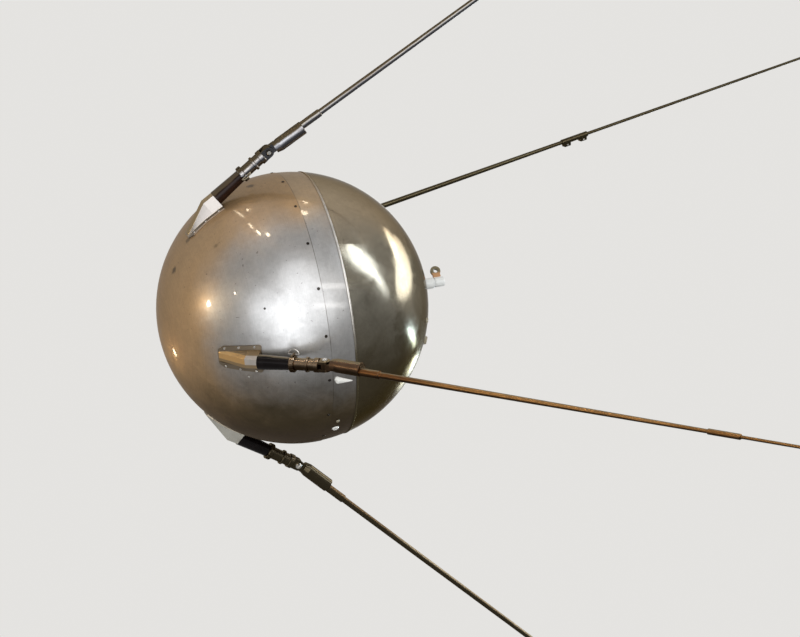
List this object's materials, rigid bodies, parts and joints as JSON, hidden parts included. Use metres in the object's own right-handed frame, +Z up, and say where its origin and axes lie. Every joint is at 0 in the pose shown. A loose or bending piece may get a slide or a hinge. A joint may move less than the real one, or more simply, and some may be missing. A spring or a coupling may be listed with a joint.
{
  "type": "ball satellite",
  "caption": "Ball satellite with swept, hinged whip antennas on faceted feet and a hanging eye at the tail pole.",
  "frame": {"origin": "centre of the ball", "axes": "+X out of the nose, +Z up, antennas swept towards -X"},
  "size_m": [2.8237, 3.2704, 2.9593],
  "materials": {
    "front_shield_metal": "satin, brushed round the nose",
    "rear_shield_metal": "polished",
    "hull_metal": "satin",
    "battery_case": "matte",
    "stub_metal": "satin",
    "foot_metal": "satin",
    "insulator_moulding": "glossy",
    "ferrule_metal": "satin",
    "ring_wire": "satin",
    "pin_metal": "satin",
    "socket_metal": "satin",
    "rod_metal": "satin with brown patina",
    "coupler_metal": "satin"
  },
  "bodies": {
    "ball": {"front_hull": "hull_metal", "rear_hull": "hull_metal", "front_shield": "front_shield_metal", "rear_shield": "rear_shield_metal", "battery_block": "battery_case", "hanging_stub": "stub_metal", "foot_upper_left": "foot_metal", "insulator_upper_left": "insulator_moulding", "ferrule_upper_left": "ferrule_metal", "pull_ring_upper_left": "ring_wire", "hinge_pin_upper_left": "pin_metal", "foot_lower_left": "foot_metal", "insulator_lower_left": "insulator_moulding", "ferrule_lower_left": "ferrule_metal", "pull_ring_lower_left": "ring_wire", "hinge_pin_lower_left": "pin_metal", "foot_lower_right": "foot_metal", "insulator_lower_right": "insulator_moulding", "ferrule_lower_right": "ferrule_metal", "pull_ring_lower_right": "ring_wire", "hinge_pin_lower_right": "pin_metal", "foot_upper_right": "foot_metal", "insulator_upper_right": "insulator_moulding", "ferrule_upper_right": "ferrule_metal", "pull_ring_upper_right": "ring_wire", "hinge_pin_upper_right": "pin_metal"},
    "antenna_upper_left": {"rod_socket_upper_left": "socket_metal", "lower_rod_upper_left": "rod_metal", "coupler_upper_left": "coupler_metal", "upper_rod_upper_left": "rod_metal"},
    "antenna_lower_left": {"rod_socket_lower_left": "socket_metal", "lower_rod_lower_left": "rod_metal", "coupler_lower_left": "coupler_metal", "upper_rod_lower_left": "rod_metal"},
    "antenna_lower_right": {"rod_socket_lower_right": "socket_metal", "lower_rod_lower_right": "rod_metal", "coupler_lower_right": "coupler_metal", "upper_rod_lower_right": "rod_metal"},
    "antenna_upper_right": {"rod_socket_upper_right": "socket_metal", "lower_rod_upper_right": "rod_metal", "coupler_upper_right": "coupler_metal", "upper_rod_upper_right": "rod_metal"}
  },
  "joints": [
    {"name": "fold_upper_left", "type": "hinge", "parent": "ball", "child": "antenna_upper_left", "pos_m": [0.02164, 0.253, 0.253], "axis": [0, 0.7071, -0.7071], "range_deg": [-8.2, 20.8]},
    {"name": "fold_lower_left", "type": "hinge", "parent": "ball", "child": "antenna_lower_left", "pos_m": [0.02164, 0.253, -0.253], "axis": [0, -0.7071, -0.7071], "range_deg": [-29, 0]},
    {"name": "fold_lower_right", "type": "hinge", "parent": "ball", "child": "antenna_lower_right", "pos_m": [0.02164, -0.253, -0.253], "axis": [0, -0.7071, 0.7071], "range_deg": [-26.2, 2.8]},
    {"name": "fold_upper_right", "type": "hinge", "parent": "ball", "child": "antenna_upper_right", "pos_m": [0.02164, -0.253, 0.253], "axis": [0, 0.7071, 0.7071], "range_deg": [-3.5, 25.5]}
  ]
}
